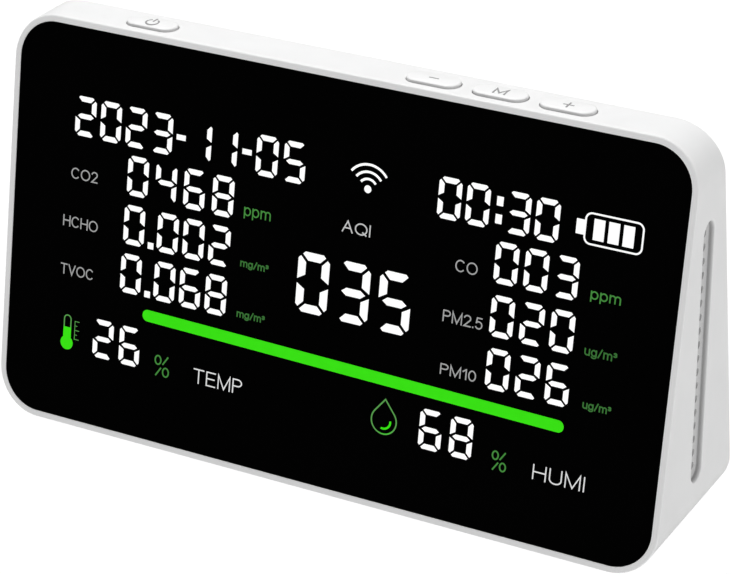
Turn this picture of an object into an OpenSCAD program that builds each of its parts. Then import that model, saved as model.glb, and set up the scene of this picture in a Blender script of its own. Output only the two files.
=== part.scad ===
// Desktop air quality monitor: a wedge-shaped case with a slanted black display lens, four keys on
// its narrow top, a perforated air slot in each side and the boards, sensors and battery inside.
// Origin: on the desk, under the middle of the case. +X is the viewer's right, +Y goes to the back.

/* [Case] */
// Width of the case
case_w = 155; // [154:0.5:158]
// Height of the case without its feet
case_h = 87; // [86.5:0.5:88]
// Depth of the case at its base
case_d = 40; // [39.5:0.5:42]
// Depth of the flat top
top_d = 10; // [9.8:0.1:10.4]
// How far the front leans back from its bottom edge to its top edge
front_run = 16.7; // [16:0.1:17]
// Corner radius of the case, seen from the front
corner_r = 10; // [9.5:0.5:11]
// Thickness of the top and bottom walls
wall = 2.2; // [2.1:0.1:2.3]
// Thickness of the side walls
side_wall = 2.4; // [2.3:0.1:2.5]
// How far the rubber feet stand out below the case
foot_out = 0.5; // [0.4:0.1:0.8]

/* [Front lens] */
// Width of the rim left round the lens
rim = 1.4; // [1.2:0.1:1.6]
// Corner radius of the lens
lens_r = 8.5; // [8:0.5:9]
// Thickness of the lens
lens_t = 1.1; // [1:0.1:1.1]
// How far the lens lies below the rim
lens_drop = 0.1; // [0.05:0.05:0.15]
// Thickness of the tape that holds the lens
tape_t = 0.15; // [0.1:0.05:0.2]

/* [Display] */
// Width of a small digit
digit_w = 5.05; // [4.9:0.05:5.2]
// Height of a small digit
digit_h = 8.5; // [8.2:0.1:8.6]
// Width of a segment
digit_t = 1.15; // [1.05:0.05:1.3]
// Size of the large digits over the small ones
large_k = 1.5; // [1.4:0.05:1.55]
// Height of the level bar
bar_h = 2.55; // [2.4:0.05:3]

/* [Keys] */
// Length of a key cap
key_w = 11.6; // [11.2:0.1:12.4]
// Depth of a key cap
key_d = 5; // [4.6:0.1:5]
// How far a key stands out of the top
key_out = 0.8; // [0.6:0.1:1]
// Travel of a key
key_travel = 0.5; // [0.3:0.1:0.5]
// Gap round a key
key_gap = 0.18; // [0.15:0.01:0.2]

/* [Air slots] */
// Length of the slot in each side
slot_len = 56.5; // [50:0.5:58]
// Width of the slot
slot_w = 5.3; // [4.8:0.1:5.6]
// Depth of the slot
slot_deep = 1.2; // [1:0.1:1.2]
// Holes in the floor of each slot
slot_holes = 18; // [12:1:18]
// Diameter of those holes
slot_hole_d = 1.6; // [1.2:0.1:1.8]
// How far they lie behind the slot's middle line
slot_hole_y = 0.5; // [0:0.1:1]

/* [Rear cover] */
// Thickness of the rear cover
cover_t = 2; // [1.8:0.1:2]
// Rim left round the rear cover
cover_rim = 1.5; // [1.4:0.1:1.5]

/* [Battery] */
// Diameter of the cell
cell_d = 18.4; // [18.2:0.1:18.6]
// Length of the cell
cell_len = 65.2; // [65:0.1:65.3]

/* [Hidden] */
$fn = 48;
big = 200;                            // longer than any part of the case
lean = atan(front_run / case_h);      // how far the front tips back
back_lean = atan((case_d - top_d - front_run) / case_h); // how far the back tips forward
front_len = case_h / cos(lean);       // height of the front along its slope
base = foot_out;                      // height of the case's underside
top = base + case_h;                  // height of the case's top
floor_z = base + wall;                // inside floor
front_wall = 2.75;                    // case front, lens recess included
recess = lens_drop + lens_t + tape_t; // depth of the lens recess
fit_gap = 0.1;                        // gap between parts that are laid together
lens_gap = 0.05;                      // gap round the lens
lens_w = case_w - 2 * rim;
lens_h = front_len - 2 * rim;
window_t = 0.12;                      // thickness of a lit window in the lens face
window = [141, 64];                   // opening behind the lens for the light box
window_s = 44;                        // its centre, up the slope
box_t = 5.05;                         // light box thickness
board_t = 1.2;                        // thickness of the circuit boards
display_z = recess + box_t;           // depth of the display board's front
display_back = display_z + board_t;

key_y = front_run - case_d / 2 + 4.5; // line of the keys along the top
key_x = [-46.9, 18.3, 32.9, 47.4];    // power, minus, mode, plus
key_board_z = top - 9.3;              // underside of the key board
key_board_w = 6.8;
key_board_y = key_y + 0.65;
switch_w = 4.5;
switch_h = 3.4;
stem_d = 2.5;
key_post_d = 3.2;
flange_t = 1;                         // the flange that keeps a key in its hole
flange_out = 1.2;
pocket_deep = flange_t + key_travel + 0.7;

screw_x = 71;                         // rear screws, left and right of the middle
screw_low = 9.4;                      // their heights up the back
screw_high = 81;
screw_r = 1.1;
screw_len = 7;
screw_head_r = 2.3;
screw_recess_r = 2.6;
screw_recess = 1;                     // depth of the recess for each head
boss_r = 3;
boss_bore_r = 1.15;
m2_r = 0.85;                          // board screw shank
m2_bore_r = m2_r + 0.05;
m2_clear_r = m2_r + 0.15;
display_post_r = 2.1;                 // posts that the boards are screwed to
key_board_post_r = 2.2;
charge_post_r = 1.9;
main_post_r = 2.6;
m2_head_r = 1.9;
m2_head_t = 1.3;
m2_len = 4;

display_screws = [for (x = [-72.7, 72.7], s = [17, 74]) [x, s]];
main_screws = [for (x = [-62.5, 14.5], t = [29.5, 59.5]) [x, t]];
key_screws = [-62, 0, 61];
key_screw_y = key_board_y - 0.2;
charge_screws = [[7.6, 6.5], [16.4, 6.5]];

slot_z = base + 41.15;                // middle height of an air slot
slot_lean = (lean - back_lean) / 2;
slot_holes_len = slot_len - 5.8;      // from the first hole to the last
slot_pitch = slot_holes_len / (slot_holes - 1);

main_lo = [-66, 26];                  // main board: lower left corner, up the back
main_size = [84, 37];
main_z = 6.4;                         // its depth in from the back
main_front = main_z + board_t;

cell_y = 3.6;
cell_x = -32.1;
cell_tip = 1.2;                       // how far the positive cap stands out
cell_gap = 0.25;
holder_wall = 1.2;
cell_z = floor_z + holder_wall + cell_d / 2 + cell_gap;
holder = [71, cell_d + 2 * cell_gap + 2, 13.4];

climate_x = 72;                       // climate sensor board, upright behind the right slot
climate_t = 1;
climate_z = 38.5;
climate_pin_y = 7.6;
climate_pins = [41, 50];

charge_x = 12;                        // charging board and its socket
charge_z = 4.7;
charge_size = [13, 14.6, 1.2];
charge_y0 = 2;
usb_w = 8.94;
usb_h = 3.16;
usb_len = 7.35;
usb_z = charge_z + charge_size[2] + usb_h / 2;
usb_mouth = 17.85;

pm_lo = [21, 4.8];                     // dust sensor: lower left corner, up the back
pm_size = [38, 35];
pm_z = cover_t + 1;                   // its depth in from the back, past the seal
pm_t = 12;
pm_wall = 1.2;
pm_rib = 1.1;                         // ribs on the rear cover, left and right of it
fan_at = pm_lo + [11.2, 23.6];
fan_r = 8.8;
fan_pin_r = 0.75;
fan_bore_r = 0.8;
laser_at = pm_lo + [28.5, 8];
sounder_at = [-6, 45];
sounder_h = 3.8;

foot_r = 4;
foot_sink = 1;
foot_at = [for (x = [-62, 62], y = [-13, 13]) [x, y]];

// ---- Frames and helpers --------------------------------------------------------------------

// Y of the front and back faces at height z, moved in by d
function front_y(z, d = 0) = -case_d / 2 + (z - base) * tan(lean) + d / cos(lean);
function back_y(z, d = 0) = case_d / 2 - (z - base) * tan(back_lean) - d / cos(back_lean);
// [y, z] of a point s up the front slope and d in from it, and of one up the back slope
function at_front(s, d) =
  [-case_d / 2 + s * sin(lean) + d * cos(lean), base + s * cos(lean) - d * sin(lean)];
function at_back(t, d) =
  [case_d / 2 - t * sin(back_lean) - d * cos(back_lean), base + t * cos(back_lean) - d * sin(back_lean)];

// X across, Y up the front slope, +Z out of the front face
module on_front(z = 0) translate([0, -case_d / 2, base]) rotate([90 - lean, 0, 0])
  translate([0, 0, z]) children();
// X across, Y up the back slope, +Z into the case
module on_back(z = 0) translate([0, case_d / 2, base]) rotate([90 + back_lean, 0, 0])
  translate([0, 0, z]) children();
// Extrudes an (x, z) outline right through along Y
module through_y() translate([0, big / 2, 0]) rotate([90, 0, 0]) linear_extrude(big) children();
// Extrudes a (y, z) outline along X, centred
module along_x(len = big) translate([-len / 2, 0, 0]) rotate([90, 0, 90]) linear_extrude(len) children();

module rounded(w, h, r) {
  square([w - 2 * r, h], center = true);
  square([w, h - 2 * r], center = true);
  for (x = [-1, 1], y = [-1, 1]) translate([x * (w / 2 - r), y * (h / 2 - r)]) circle(r);
}
module stadium(w, h) {
  square([w - h, h], center = true);
  for (x = [-1, 1]) translate([x * (w - h) / 2, 0]) circle(h / 2);
}
// Outline of the case seen from the front, moved in by side and by level
module case_outline(side = 0, level = 0) translate([0, base + case_h / 2])
  rounded(case_w - 2 * side, case_h - 2 * level, corner_r - (side + level) / 2);
// Everything between two planes: front one moved in by f, back one moved in by b
module between(f, b) along_x() polygon([
  [front_y(-10, f), -10], [front_y(top + 10, f), top + 10],
  [back_y(top + 10, b), top + 10], [back_y(-10, b), -10]]);
// The layer from d0 to d1 in from the back face
module back_layer(d0, d1) along_x() polygon([
  [back_y(-10, d1), -10], [back_y(top + 10, d1), top + 10],
  [back_y(top + 10, d0), top + 10], [back_y(-10, d0), -10]]);
module block(lo, size) translate(lo) cube(size);
// A thin wire through a list of points, eight-sided, each stretch running a little into the next
module wire(points, r) for (i = [1 : len(points) - 1]) {
  v = points[i] - points[i - 1];
  translate(points[i - 1]) rotate([0, acos(v[2] / norm(v)), atan2(v[1], v[0])])
    translate([0, 0, -r / 2]) cylinder(r = r, h = norm(v) + r, $fn = 8);
}
// A flat flexible cable through (y, z) points
module ribbon(points, x, w, t) translate([x, 0, 0]) along_x(w) for (i = [1 : len(points) - 1]) {
  v = points[i] - points[i - 1];
  translate(points[i - 1]) rotate(atan2(v[1], v[0])) translate([0, -t / 2]) square([norm(v), t]);
  if (i < len(points) - 1) translate(points[i]) circle(0.56 * t, $fn = 16);
}
module pan_screw(r, len, head_r, head_t) {
  cylinder(r = head_r, h = head_t);
  translate([0, 0, -len]) cylinder(r = r, h = len);
}

// ---- Display layout: heights are up the front slope ----------------------------------------

lit = [[1, 1, 1, 1, 1, 1, 0], [0, 1, 1, 0, 0, 0, 0], [1, 1, 0, 1, 1, 0, 1], [1, 1, 1, 1, 0, 0, 1],
       [0, 1, 1, 0, 0, 1, 1], [1, 0, 1, 1, 0, 1, 1], [1, 0, 1, 1, 1, 1, 1], [1, 1, 1, 0, 0, 0, 0],
       [1, 1, 1, 1, 1, 1, 1], [1, 1, 1, 1, 0, 1, 1]];
date_s = 68.4;
time_s = 67.9;
left_s = [58.1, 47.5, 36.9];
right_s = [57.4, 46.5, 35.6];
index_s = 44.2;
temp_s = 21.1;
humi_s = 19.7;
bar_at = [6.45, 28];
bar_len = 97.7;
bar_tilt = 0.95;       // degrees down to the right
signal_at = [8, 66.2];
battery_at = [61.3, 68.1];
thermo_at = [-60.9, 18.4];
drop_at = [16.05, 19.2];

function run(digits, x, pitch, s, k = 1) =
  [for (i = [0 : len(digits) - 1]) [digits[i], x + i * pitch, s, k]];
readings = concat(
  run([2, 0, 2, 3], -61.7, 6.25, date_s), run([1, 1], -33.6, 6.15, date_s),
  run([0, 5], -17.9, 6.4, date_s),
  run([0, 0], 23.6, 6.2, time_s), run([3, 0], 38.6, 6.2, time_s),
  run([0, 4, 6, 8], -48.1, 6.87, left_s[0]),
  run([0], -48.3, 0, left_s[1]), run([0, 0, 2], -40.05, 6.25, left_s[1]),
  run([0], -48.4, 0, left_s[2]), run([0, 6, 8], -40.1, 6.25, left_s[2]),
  run([0, 3, 5], -6.35, 9.4, index_s, large_k),
  run([0, 0, 3], 37.1, 6.45, right_s[0]),
  run([0, 2, 0], 37.3, 6.5, right_s[1]),
  run([0, 2, 6], 37.5, 6.5, right_s[2]),
  run([2, 6], -54.3, 6.6, temp_s), run([6, 8], 24.1, 6.9, humi_s));
// Dashes, points and the two dots of the clock: centre, size
marks = [
  [[-35.8, date_s], [2.2, 1.15]], [[-20.1, date_s], [2.2, 1.15]],
  [[37, time_s + 1.7], [1.4, 1.9]], [[37, time_s - 1.9], [1.4, 1.9]],
  [[-41.5, left_s[1] - 3.5], [1.4, 1.4]], [[-41.6, left_s[2] - 3.5], [1.4, 1.4]]];

// One segment bar of a digit: 0 top, then clockwise, 6 the middle
module segment(i, w, h, t) {
  c = 0.85 * t;      // corner cut
  q = 0.25 * t;      // half the gap, measured along an edge
  m = h / 2;
  flat = [[(c + q) / 2, m - (c - q) / 2], [c, m], [w - c, m], [w - (c + q) / 2, m - (c - q) / 2],
          [w - t - q, m - t], [t + q, m - t]];
  upright = [[(c - q) / 2, m - (c + q) / 2], [0, m - c], [0, q], [t, 0.47 * t + 1.5 * q],
             [t, m - t - q]];
  middle = [[0.5 * t, 0], [1.12 * t, 0.46 * t], [w - 1.12 * t, 0.46 * t], [w - 0.5 * t, 0],
            [w - 1.12 * t, -0.46 * t], [1.12 * t, -0.46 * t]];
  if (i == 0) polygon(flat);
  if (i == 3) mirror([0, 1]) polygon(flat);
  if (i == 5) polygon(upright);
  if (i == 4) mirror([0, 1]) polygon(upright);
  if (i == 1) translate([w, 0]) mirror([1, 0]) polygon(upright);
  if (i == 2) translate([w, 0]) mirror([1, 0]) mirror([0, 1]) polygon(upright);
  if (i == 6) polygon(middle);
}
function digit_width(k) = k > 1 ? 0.96 * digit_w * k : digit_w;
function stroke_width(k) = k > 1 ? 1.04 * digit_t * k : digit_t;
module digit_shapes() {
  for (d = readings, i = [0 : 6]) if (lit[d[0]][i] == 1)
    translate([d[1], d[2]]) segment(i, digit_width(d[3]), digit_h * d[3], stroke_width(d[3]));
  for (m = marks) translate(m[0]) square(m[1], center = true);
}
function on_bar(u) = bar_at + u * [cos(bar_tilt), -sin(bar_tilt)];
module along_bar() translate(bar_at) rotate(-bar_tilt) children();
module level_bar_shape() along_bar() stadium(bar_len, bar_h);
module arc(r, t, half) intersection() {
  difference() { circle(r + t / 2); circle(r - t / 2); }
  polygon([[0, 0], [-2 * r * sin(half), 2 * r * cos(half)], [-2 * r * sin(half), 3 * r],
           [2 * r * sin(half), 3 * r], [2 * r * sin(half), 2 * r * cos(half)]]);
}
module white_icon_shapes() {
  translate(signal_at) {
    circle(0.8);
    for (r = [2.1, 3.55, 5.05]) arc(r, 0.5, 52);
  }
  line = 0.37;
  body = [12.4, 6.5];
  body_r = 1.5;
  terminal = [1.7, 3];
  translate(battery_at) {
    difference() {
      rounded(body[0], body[1], body_r);
      rounded(body[0] - 2 * line, body[1] - 2 * line, body_r - line);
    }
    for (i = [-1 : 1]) translate([3.1 * i, 0]) square([2.3, 4.25], center = true);
    translate([-(body[0] + terminal[0]) / 2, 0]) square(terminal, center = true);
  }
}
module thermometer_shape() {
  bulb = 1.55;
  tube = 1.95;
  up = 5.3;
  line = 0.27;
  scale_at = [1.8, 1.05];
  scale_line = 0.16;
  circle(bulb);
  translate([-tube / 2, 0]) square([tube, up * 0.66]);
  difference() {
    union() {
      translate([-tube / 2, up * 0.6]) square([tube, up * 0.4]);
      translate([0, up]) circle(tube / 2);
    }
    translate([line - tube / 2, 0]) square([tube - 2 * line, up]);
    translate([0, up]) circle(tube / 2 - line);
  }
  translate(scale_at) {
    square([scale_line, 4 + scale_line]);
    for (i = [0 : 4]) translate([0, i]) square([i % 2 == 0 ? 1.2 : 0.7, scale_line]);
  }
}
// A drop: a circle with a tip, its straight sides touching the circle
module drop(r, tip) {
  a = acos(r / tip);
  circle(r);
  polygon([[0, tip], [-r * sin(a), r * cos(a)], [0, 0], [r * sin(a), r * cos(a)]]);
}
module green_icon_shapes() {
  translate(thermo_at) thermometer_shape();
  translate(drop_at) {
    difference() { drop(3, 4.8); drop(2.7, 4.32); }
    translate([-0.1, -0.1]) rotate(-138) arc(1.6, 0.44, 58);
  }
}
module lit_window() on_front(-lens_drop - window_t) linear_extrude(window_t) children();

// ---- Case ----------------------------------------------------------------------------------

module slot_outline(w, l) translate([(front_y(slot_z) + back_y(slot_z)) / 2, slot_z])
  rotate(90 - slot_lean) stadium(l, w);
module side_slots() for (side = [-1, 1]) {
  translate([side * (case_w / 2 + 1 - slot_deep / 2 - 0.5), 0, 0])
    along_x(slot_deep + 1) slot_outline(slot_w, slot_len);
  for (i = [0 : slot_holes - 1]) {
    u = (i - (slot_holes - 1) / 2) * slot_pitch;
    translate([side * case_w / 2,
               slot_hole_y + (front_y(slot_z) + back_y(slot_z)) / 2 + u * sin(slot_lean),
               slot_z + u * cos(slot_lean)]) rotate([0, -90 * side, 0])
      translate([0, 0, -1]) cylinder(d = slot_hole_d, h = side_wall + 2);
  }
}
// Key holes, and under the top wall a pocket for each key's flange
module key_holes() for (x = key_x) translate([x, key_y, top - wall]) {
  translate([0, 0, -1]) linear_extrude(wall + 2) stadium(key_w + 2 * key_gap, key_d + 2 * key_gap);
  translate([0, 0, -pocket_deep]) linear_extrude(pocket_deep)
    stadium(key_w + 2 * flange_out + 0.8, key_d + 0.6);
}
module housing_bosses() intersection() {
  between(1.6, cover_t);
  through_y() case_outline(0.5, 0.5);
  union() {
    on_back(0) for (x = [-screw_x, screw_x], t = [screw_low, screw_high])
      translate([x, t, 0]) cylinder(r = boss_r, h = 40);
    on_front(-display_z) for (p = display_screws) translate([p[0], p[1], 0])
      cylinder(r = display_post_r, h = display_z - front_wall + 0.5);
    for (x = key_screws) translate([x, key_screw_y, key_board_z + board_t])
      cylinder(r = key_board_post_r, h = top - key_board_z - board_t - 0.5);
    for (p = charge_screws) translate([p[0], p[1], base + 0.5])
      cylinder(r = charge_post_r, h = charge_z - base - 0.5);
    for (z = climate_pins) translate([climate_x + climate_t, climate_pin_y, z]) rotate([0, 90, 0])
      cylinder(r = 1.1, h = 3);
  }
}
module housing_bores() {
  on_back(cover_t) for (x = [-screw_x, screw_x], t = [screw_low, screw_high])
    translate([x, t, -1]) cylinder(r = boss_bore_r, h = t == screw_low ? 9.5 : 7.5);
  on_front(-display_z) for (p = display_screws) translate([p[0], p[1], -0.5])
    cylinder(r = m2_bore_r, h = 3.6);
  for (x = key_screws) translate([x, key_screw_y, key_board_z + board_t - 0.5])
    cylinder(r = m2_bore_r, h = 3.8);
  for (p = charge_screws) translate([p[0], p[1], charge_z - 2.9]) cylinder(r = m2_bore_r, h = 4);
}
module housing() color("white") difference() {
  union() {
    difference() {
      intersection() { through_y() case_outline(); between(0, 0); }
      intersection() { through_y() case_outline(side_wall, wall); between(front_wall, -20); }
    }
    housing_bosses();
  }
  intersection() { through_y() case_outline(cover_rim, cover_rim); back_layer(-10, cover_t); }
  on_front(-recess) translate([0, front_len / 2, 0]) linear_extrude(5)
    rounded(lens_w, lens_h, lens_r);
  on_front(-front_wall - 1) translate([0, window_s, 0]) linear_extrude(5)
    square(window, center = true);
  side_slots();
  key_holes();
  for (p = foot_at) translate([p[0], p[1], base - 1]) cylinder(r = foot_r + 0.1, h = 1 + foot_sink);
  housing_bores();
}

module usb_opening(w, h, y0, y1) translate([charge_x, y1, usb_z]) rotate([90, 0, 0])
  linear_extrude(y1 - y0) stadium(w, h);
vent_w = 2;
sound_pitch = 2.4;
module rear_vents() on_back(-1) linear_extrude(cover_t + 2) {
  for (x = [-58 : 5 : 57]) translate([x, 70]) rotate(90) stadium(9, vent_w);
  for (x = [25.5 : 4.5 : 55]) translate([x, pm_lo[1] + pm_size[1] / 2 + 1])
    rotate(90) stadium(26, vent_w);
  for (x = [-2 : 2], y = [-2 : 2]) if (abs(x) + abs(y) < 4)
    translate(sounder_at + sound_pitch * [x, y]) circle(d = 1.3);
}
module rear_cover() color("white") difference() {
  union() {
    intersection() {
      through_y() case_outline(cover_rim + fit_gap, cover_rim + fit_gap);
      back_layer(0, cover_t);
    }
    on_back(cover_t - 0.5) for (p = main_screws) translate([p[0], p[1], 0])
      cylinder(r = main_post_r, h = main_z - cover_t + 0.5);
    on_back(cover_t - 0.5) for (x = [pm_lo[0] - pm_rib - 0.2, pm_lo[0] + pm_size[0] + 0.2])
      block([x, 8, 0], [pm_rib, 26, 5]);
  }
  on_back(0) for (x = [-screw_x, screw_x], t = [screw_low, screw_high]) {
    translate([x, t, -1]) cylinder(r = screw_r + 0.35, h = cover_t + 2);
    translate([x, t, -1]) cylinder(r = screw_recess_r, h = 1 + screw_recess);
  }
  on_back(main_z) for (p = main_screws) translate([p[0], p[1], -3.3]) cylinder(r = m2_bore_r, h = 4);
  rear_vents();
  usb_opening(usb_w + 0.7, usb_h + 0.7, 14, 22);
  usb_opening(usb_w + 4, usb_h + 4, usb_mouth + 0.05, 22);
}
module rear_screws() color("dimgray") on_back(screw_recess)
  for (x = [-screw_x, screw_x], t = [screw_low, screw_high]) translate([x, t, 0]) mirror([0, 0, 1])
    difference() {
      union() {
        translate([0, 0, -screw_len]) cylinder(r = screw_r, h = screw_len);
        cylinder(r = screw_head_r, h = 0.9);
      }
      for (a = [0, 90]) rotate(a) translate([-1.4, -0.3, 0.3]) cube([2.8, 0.6, 1]);
    }
module rubber_feet() color("black") for (p = foot_at) translate([p[0], p[1], 0])
  cylinder(r = foot_r, h = foot_out + foot_sink);

module front_lens() color("black") difference() {
  on_front(-lens_drop - lens_t) translate([0, front_len / 2, 0]) linear_extrude(lens_t)
    rounded(lens_w - 2 * lens_gap, lens_h - 2 * lens_gap, lens_r - lens_gap);
  on_front(-lens_drop - window_t) linear_extrude(1) {
    digit_shapes();
    level_bar_shape();
    white_icon_shapes();
    green_icon_shapes();
  }
}
module lens_tape() color("dimgray") on_front(-recess) linear_extrude(tape_t) difference() {
  translate([0, front_len / 2]) rounded(lens_w - 1, lens_h - 1, lens_r - 0.5);
  translate([0, window_s]) square(window + [1, 1], center = true);
}
module digit_windows() color("white") lit_window() digit_shapes();
module level_bar_window() color("lime") lit_window() level_bar_shape();
module white_icon_windows() color("white") lit_window() white_icon_shapes();
module green_icon_windows() color("lime") lit_window() green_icon_shapes();

// ---- Display behind the lens ---------------------------------------------------------------

// Cells of the light box: centre, size
cells = concat(
  [for (d = readings)
    [[d[1] + digit_width(d[3]) / 2, d[2]], [digit_width(d[3]) + 0.8, digit_h * d[3] + 0.8]]],
  [[signal_at + [0, 2], [11, 7.4]], [battery_at, [14.6, 7.4]], [thermo_at + [0.6, 2.6], [5.6, 9.4]],
   [drop_at + [0, 1], [7, 8.8]]]);
led = [1.6, 0.8, 0.6];
module light_box() color("whitesmoke") on_front(-display_z) linear_extrude(box_t) difference() {
  translate([0, window_s]) square(window - [1, 1], center = true);
  for (c = cells) translate(c[0]) square(c[1], center = true);
  along_bar() square([bar_len, 3], center = true);
}
module display_led(p) block([p[0] - led[0] / 2, p[1] - led[1] / 2, 0], led);
module display_leds() color("khaki") on_front(-display_z) {
  for (c = cells) display_led(c[0]);
  for (i = [-5 : 5]) display_led(on_bar(9 * i));
}
module display_board() color("darkgreen") on_front(-display_back) linear_extrude(board_t) difference() {
  translate([0, 43.6]) rounded(149, 65.5, 2);
  for (p = display_screws) translate(p) circle(m2_clear_r);
}
// Flat cable from the display board to the main board, with a socket at each end
ribbon_x = -2;
ribbon_t = 0.25;
display_socket_s = 50;
main_socket_t = 51;
socket = [16, 5, 1.6];
ribbon_points = [
  at_front(display_socket_s + 2.6, display_back + 0.8),
  at_front(display_socket_s + 4.5, display_back + 1),
  at_front(display_socket_s + 6, display_back + 2),
  at_back(main_socket_t + 5.4, main_front + 1.6),
  at_back(main_socket_t + 4.3, main_front + 0.9),
  at_back(main_socket_t + 2.6, main_front + 0.8)];
module ribbon_sockets() color("ivory") {
  on_front(-display_back - socket[2])
    block([ribbon_x - socket[0] / 2, display_socket_s - socket[1] / 2, 0], socket);
  on_back(main_front) block([ribbon_x - socket[0] / 2, main_socket_t - socket[1] / 2, 0], socket);
}
module display_ribbon() color("white") ribbon(ribbon_points, ribbon_x, 13, ribbon_t);

// ---- Keys ----------------------------------------------------------------------------------

stem_top = top - 3.8;                 // where a key's post meets its switch stem
module key(x) translate([x, key_y, top - wall - flange_t - fit_gap]) {
  linear_extrude(wall + flange_t + fit_gap + key_out) stadium(key_w, key_d);
  linear_extrude(flange_t) stadium(key_w + 2 * flange_out, key_d - 0.4);
  translate([0, 0, stem_top - top + wall + flange_t + fit_gap])
    cylinder(d = key_post_d, h = top - wall - flange_t - stem_top);
}
module key_power() color("white") key(key_x[0]);
module key_minus() color("white") key(key_x[1]);
module key_mode() color("white") key(key_x[2]);
module key_plus() color("white") key(key_x[3]);
switch_top = key_board_z + board_t + switch_h;
stem_low = switch_top - 0.9;
stem_room = key_travel + 0.2;         // free depth under a stem
module stem(x) translate([x, key_y, stem_low]) cylinder(d = stem_d, h = stem_top - stem_low);
module stem_power() color("red") stem(key_x[0]);
module stem_minus() color("red") stem(key_x[1]);
module stem_mode() color("red") stem(key_x[2]);
module stem_plus() color("red") stem(key_x[3]);
module tact_switches() color("dimgray") for (x = key_x) difference() {
  block([x - switch_w / 2, key_y - switch_w / 2, key_board_z + board_t], [switch_w, switch_w, switch_h]);
  translate([x, key_y, stem_low - stem_room]) cylinder(d = stem_d + 0.1, h = 5);
}
module key_board() color("darkgreen") difference() {
  block([-65, key_board_y - key_board_w / 2, key_board_z], [129, key_board_w, board_t]);
  for (x = key_screws) translate([x, key_screw_y, key_board_z - 1]) cylinder(r = m2_clear_r, h = 4);
}
key_ribbon_x = -15;
key_ribbon_points = [
  [key_board_y + 0.6, key_board_z - 0.06],
  [key_board_y + 1.2, key_board_z - 6],
  at_back(66, main_front + 1.2),
  at_back(62.5, main_front + 0.8),
  at_back(61, main_front + 0.13)];
module key_ribbon() color("white") ribbon(key_ribbon_points, key_ribbon_x, 7, ribbon_t);

// ---- Boards, sensors and power -------------------------------------------------------------

module board_screws() color("silver") {
  on_front(-display_back) for (p = display_screws) translate([p[0], p[1], 0]) mirror([0, 0, 1])
    pan_screw(m2_r, m2_len, m2_head_r, m2_head_t);
  on_back(main_front) for (p = main_screws) translate([p[0], p[1], 0])
    pan_screw(m2_r, m2_len, m2_head_r, m2_head_t);
  for (x = key_screws) translate([x, key_screw_y, key_board_z]) mirror([0, 0, 1])
    pan_screw(m2_r, m2_len, m2_head_r, m2_head_t);
  for (p = charge_screws) translate([p[0], p[1], charge_z + charge_size[2]])
    pan_screw(m2_r, m2_len, m2_head_r, m2_head_t);
}
module main_board() color("darkgreen") on_back(main_z) linear_extrude(board_t) difference() {
  translate(main_lo) square(main_size);
  for (p = main_screws) translate(p) circle(m2_clear_r);
}
rear_chip = [6, 5, 1.6];
front_chip = [5, 4, 1.2];
module main_chips() color("black") {
  on_back(main_z - rear_chip[2]) for (p = [[-50, 34], [-34, 34], [-34, 50], [4, 56]])
    block([p[0], p[1], 0], rear_chip);
  on_back(main_front) for (p = [[-36, 30], [-39.5, 57], [6, 29]]) block([p[0], p[1], 0], front_chip);
}
module main_connectors() color("ivory") on_back(main_front)
  for (t = [36, 46]) block([8.5, t, 0], [6, 8, 4]);
// A block with a smaller one on it: size at its foot, then the height of the whole
module stepped(x, t, size, high, step) on_back(main_front) {
  block([x, t, 0], size);
  block([x + step, t + step, 0], [size[0] - 2 * step, high[0], high[1]]);
}
module controller_module() color("silver") stepped(-58, 33, [18, 25.5, 0.8], [17.6, 3.1], 0.8);
module co2_sensor() color("gold") stepped(-34, 38, [10.1, 10.1, 4.5], [8.5, 6.4], 0.8);
module sounder() color("black") on_back(main_z - sounder_h) translate([sounder_at[0], sounder_at[1], 0])
  difference() {
    cylinder(r = 4.5, h = sounder_h);
    translate([0, 0, -1]) cylinder(r = 1, h = 1.8);
  }
// A round can with a wide foot and a port in its top
module can(x, t, foot_r, foot_h, can_r, can_h, port_r, port_deep) on_back(main_front)
  translate([x, t, 0]) difference() {
    union() {
      cylinder(r = foot_r, h = foot_h);
      cylinder(r = can_r, h = can_h);
    }
    translate([0, 0, can_h - port_deep]) cylinder(r = port_r, h = port_deep + 1);
  }
module gas_cell(x) can(x, 38, 7, 5, 5.6, 6, 1.5, 1);
module hcho_sensor() color("silver") gas_cell(-14.5);
module co_sensor() color("lightgray") gas_cell(0.5);
module tvoc_sensor() color("silver") can(-28.5, 54, 4.6, 0.6, 4, 4.4, 2.4, 0.6);
climate_chip = 3;
climate_chip_at = [0.5, 44];
module climate_board() color("darkgreen") difference() {
  block([climate_x, -1.5, climate_z], [climate_t, 11, 14]);
  for (z = climate_pins) translate([climate_x - 1, climate_pin_y, z]) rotate([0, 90, 0])
    cylinder(r = 0.8, h = climate_t + 2);
}
module climate_sensor() color("black") difference() {
  block(concat(climate_x - 1, climate_chip_at), [1, climate_chip, climate_chip]);
  translate(concat(climate_x - 2, climate_chip_at + climate_chip / 2 * [1, 1])) rotate([0, 90, 0])
    cylinder(r = 0.7, h = 1.5);
}
module charge_board() color("darkgreen") difference() {
  block([charge_x - charge_size[0] / 2, charge_y0, charge_z], charge_size);
  for (p = charge_screws) translate([p[0], p[1], charge_z - 1]) cylinder(r = m2_clear_r, h = 4);
}
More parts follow.
